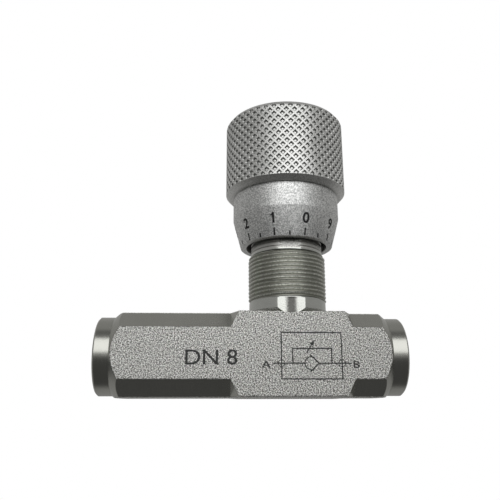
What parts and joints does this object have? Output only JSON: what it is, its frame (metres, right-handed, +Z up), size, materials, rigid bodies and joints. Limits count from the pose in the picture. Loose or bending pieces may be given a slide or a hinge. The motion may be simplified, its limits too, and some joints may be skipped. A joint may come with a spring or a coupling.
{
  "type": "flow control valve",
  "caption": "In-line throttle check valve: square bar body with a threaded port at each end, threaded panel neck and a knurled knob with a dial.",
  "frame": {"origin": "on the base face, directly under the neck's axis", "axes": "+X towards port B, +Z up along the neck, the marked face looks towards -Y"},
  "size_m": [0.075, 0.032, 0.0735],
  "materials": {
    "body_plating": "blasted zinc-nickel plated steel, fine sparkle",
    "neck_steel": "turned and plated steel",
    "grip_aluminium": "satin anodised, diamond knurl",
    "dial_aluminium": "bead-blasted, anodised",
    "hardened_steel": "ground and hardened",
    "spring_steel": "drawn wire",
    "screw_black": "blackened",
    "seal_rubber": "matt black",
    "seal_white": "PTFE",
    "wiper_brown": "polyurethane",
    "washer_zinc": "zinc plated"
  },
  "bodies": {
    "valve": {"valve_body": "body_plating", "threaded_neck": "neck_steel", "neck_o_ring": "seal_rubber", "throttle_seat": "hardened_steel", "spindle_stop_ring": "spring_steel", "spindle_wiper": "wiper_brown", "check_spring": "spring_steel", "spring_plate": "hardened_steel", "spring_plate_circlip": "spring_steel"},
    "needle": {"throttle_needle": "hardened_steel", "needle_o_ring": "seal_rubber", "needle_backup_rings": "seal_white"},
    "knob": {"adjusting_spindle": "hardened_steel", "needle_clip": "spring_steel", "grip_knob": "grip_aluminium", "dial_sleeve": "dial_aluminium", "dial_set_screws": "screw_black", "knob_set_screws": "screw_black", "knob_cap_screw": "screw_black", "knob_washer": "washer_zinc"},
    "poppet": {"check_poppet": "hardened_steel"}
  },
  "joints": [
    {"name": "needle_lift", "type": "slide", "parent": "valve", "child": "needle", "axis": [0, 0, 1], "range_m": [-0.0025, 0.0035]},
    {"name": "knob_turn", "type": "hinge", "parent": "needle", "child": "knob", "pos_m": [0, 0, 0.05], "axis": [0, 0, 1], "range_deg": [-900, 1260]},
    {"name": "poppet_slide", "type": "slide", "parent": "valve", "child": "poppet", "axis": [-1, 0, 0], "range_m": [0, 0.003], "stiffness_N_per_m": 500, "springref_m": -0.004, "deforming": ["check_spring"]}
  ],
  "couplings": [
    {"joint": "needle_lift", "follows": "knob_turn", "m_per_rad": 0.00015915}
  ]
}
